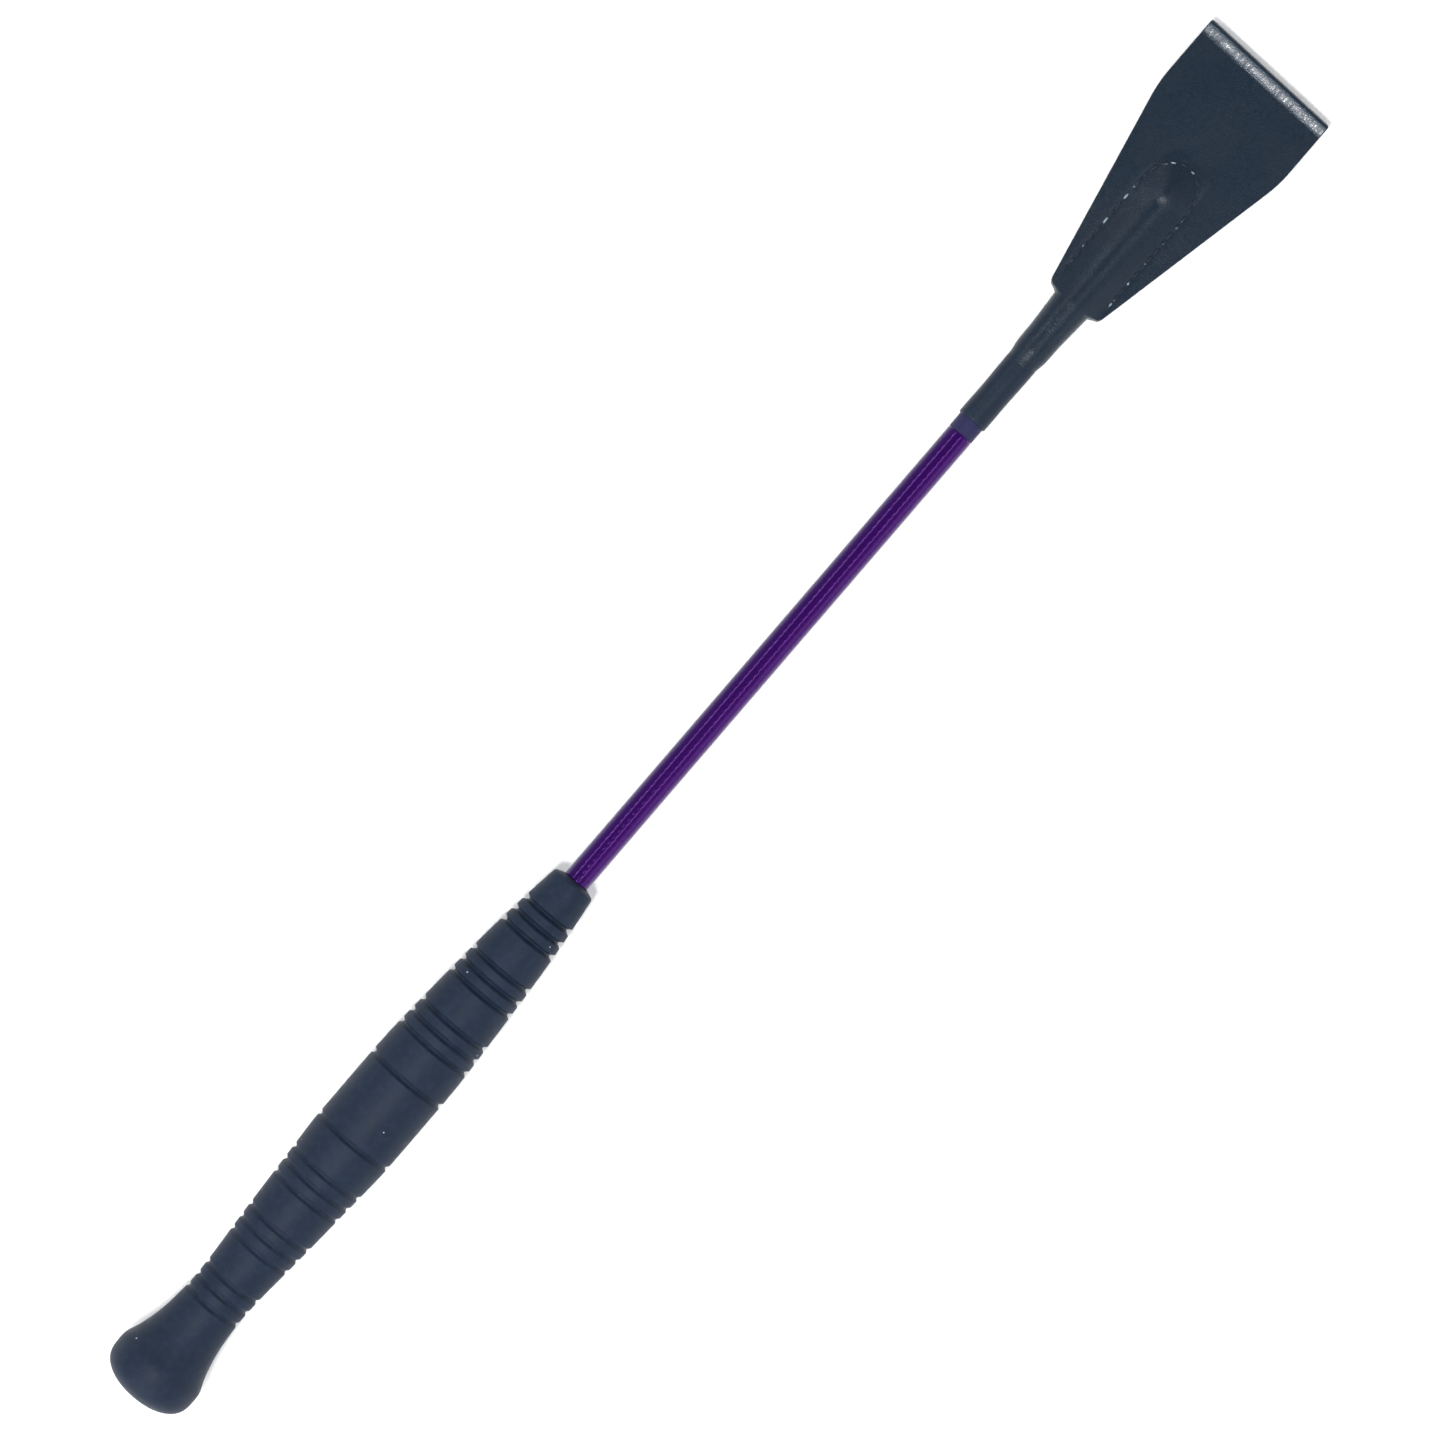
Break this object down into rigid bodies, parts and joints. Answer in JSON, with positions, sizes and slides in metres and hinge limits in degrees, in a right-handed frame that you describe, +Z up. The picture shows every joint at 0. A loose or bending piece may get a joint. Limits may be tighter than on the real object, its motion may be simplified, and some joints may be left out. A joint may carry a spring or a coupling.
{
  "type": "riding crop",
  "caption": "Straight riding crop: grooved rubber grip with a mushroom butt, braided shaft, leather neck and a flat folded leather flapper with a stitched root.",
  "frame": {"origin": "on the surface the crop lies on, under the middle of its box", "axes": "+X from the butt to the flapper's tip, +Y across the flapper, +Z up. The crop's own axis leans down towards +X by 1.276 degrees, because it lies on the grip's belly and on the flapper's ridge; the grip mount's axis gives that direction exactly"},
  "size_m": [0.4999, 0.0454, 0.0292],
  "materials": {
    "rubber": "moulded, matt, slate blue-black",
    "core_plastic": "moulded, unpainted",
    "fibreglass": "pultruded glass fibre in resin",
    "braid": "purple braided thread under clear lacquer",
    "thread": "waxed thread, wound close",
    "neck_leather": "smooth, pared thin, glued",
    "flapper_leather": "smooth bridle leather, semi-gloss",
    "seam_thread": "waxed sewing thread",
    "cap_plastic": "soft, moulded"
  },
  "bodies": {
    "handle": {"grip": "rubber", "handle_core": "core_plastic", "rod_lower": "fibreglass", "braid_lower": "braid", "mouth_whipping": "thread"},
    "shaft_tip": {"rod_upper": "fibreglass", "braid_upper": "braid", "tip_whipping": "thread", "neck_wrap": "neck_leather", "flapper_leaf_front": "flapper_leather", "flapper_leaf_back": "flapper_leather", "seam_thread": "seam_thread", "rod_tip_cap": "cap_plastic"},
    "tongue": {"flapper_tongue": "flapper_leather"}
  },
  "joints": [
    {"name": "shaft_flex", "type": "hinge", "parent": "handle", "child": "shaft_tip", "pos_m": [0.03079, 0, 0.00916], "axis": [0, 1, 0], "range_deg": [-15, 15], "stiffness_Nm_per_rad": 14},
    {"name": "flapper_flex", "type": "hinge", "parent": "shaft_tip", "child": "tongue", "pos_m": [0.21785, 0, 0.00499], "axis": [0, 1, 0], "range_deg": [-60, 60], "stiffness_Nm_per_rad": 0.5}
  ]
}
